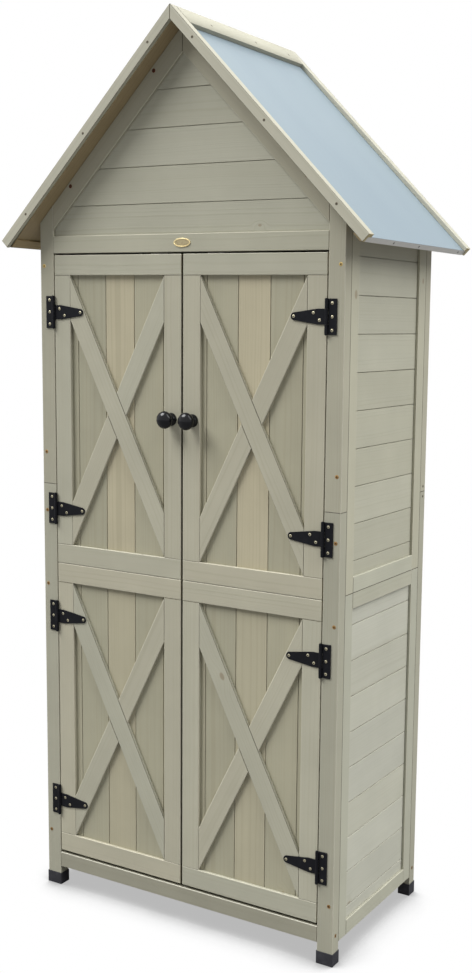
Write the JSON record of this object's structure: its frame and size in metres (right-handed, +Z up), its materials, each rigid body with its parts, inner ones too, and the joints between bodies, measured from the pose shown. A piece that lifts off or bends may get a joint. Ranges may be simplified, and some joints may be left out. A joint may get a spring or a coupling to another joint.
{
  "type": "storage shed",
  "caption": "Tall, narrow timber garden shed with hinged, cross-braced door leaves, slatted shelves inside and a steep gabled roof of sheet steel.",
  "frame": {"origin": "on the ground, under the middle of the roof's outline", "axes": "+Z up, +X to the right as seen from the front, -Y out of the front towards the viewer"},
  "size_m": [0.884, 0.474, 1.8885],
  "materials": {
    "front_timber": "thin sage-grey stain on planed softwood, grain and knots showing",
    "board_timber": "the same stain, warmer and a little darker on the boards",
    "roof_timber": "the same stain on the roof trim",
    "inner_timber": "bare planed softwood",
    "deck_timber": "bare softwood roof boards",
    "roof_steel": "smooth pale blue-grey coated sheet",
    "hinge_black": "semi-gloss black powder coat",
    "brass_screws": "brass-plated screw heads",
    "brass_plate": "brass with a darker blank field",
    "zinc_plate": "zinc-plated sheet",
    "knob_black": "glossy black",
    "foot_plastic": "moulded black plastic",
    "catch_plastic": "moulded white plastic"
  },
  "bodies": {
    "cabinet": {"front_left_lower_post": "front_timber", "front_left_upper_post": "front_timber", "front_right_lower_post": "front_timber", "front_right_upper_post": "front_timber", "rear_lower_posts": "front_timber", "rear_upper_posts": "front_timber", "left_lower_panel_frame": "front_timber", "left_upper_panel_frame": "front_timber", "right_lower_panel_frame": "front_timber", "right_upper_panel_frame": "front_timber", "rear_lower_panel_frame": "front_timber", "rear_upper_panel_frame": "front_timber", "front_gable_rafters": "front_timber", "rear_gable_rafters": "front_timber", "lintel": "front_timber", "sill": "front_timber", "left_panel_boards": "board_timber", "right_panel_boards": "board_timber", "rear_panel_boards": "board_timber", "front_gable_boards": "board_timber", "rear_gable_boards": "board_timber", "front_left_bargeboard": "roof_timber", "front_right_bargeboard": "roof_timber", "rear_left_bargeboard": "roof_timber", "rear_right_bargeboard": "roof_timber", "ridge_boards": "roof_timber", "eave_battens": "roof_timber", "floor_boards": "inner_timber", "floor_bearers": "inner_timber", "lower_shelf": "inner_timber", "upper_shelf": "inner_timber", "shelf_bearers": "inner_timber", "post_dowels": "inner_timber", "left_roof_deck": "deck_timber", "right_roof_deck": "deck_timber", "left_roof_sheet": "roof_steel", "right_roof_sheet": "roof_steel", "left_hinge_plates": "hinge_black", "right_hinge_plates": "hinge_black", "hinge_pins": "hinge_black", "hinge_plate_screws": "brass_screws", "lintel_plate": "brass_plate", "foot_caps": "foot_plastic", "door_catches": "catch_plastic"},
    "left_leaf": {"left_leaf_upper_frame": "front_timber", "left_leaf_lower_frame": "front_timber", "left_leaf_boards": "board_timber", "left_leaf_braces": "front_timber", "left_leaf_inner_plates": "zinc_plate", "left_hinge_straps": "hinge_black", "left_strap_screws": "brass_screws", "left_knob": "knob_black"},
    "right_leaf": {"right_leaf_upper_frame": "front_timber", "right_leaf_lower_frame": "front_timber", "right_leaf_boards": "board_timber", "right_leaf_braces": "front_timber", "right_leaf_inner_plates": "zinc_plate", "right_hinge_straps": "hinge_black", "right_strap_screws": "brass_screws", "right_knob": "knob_black"}
  },
  "joints": [
    {"name": "left_leaf_hinge", "type": "hinge", "parent": "cabinet", "child": "left_leaf", "pos_m": [-0.33475, -0.1974, 0.75], "axis": [0, 0, -1], "range_deg": [0, 180]},
    {"name": "right_leaf_hinge", "type": "hinge", "parent": "cabinet", "child": "right_leaf", "pos_m": [0.33475, -0.1974, 0.75], "axis": [0, 0, 1], "range_deg": [0, 180]}
  ]
}
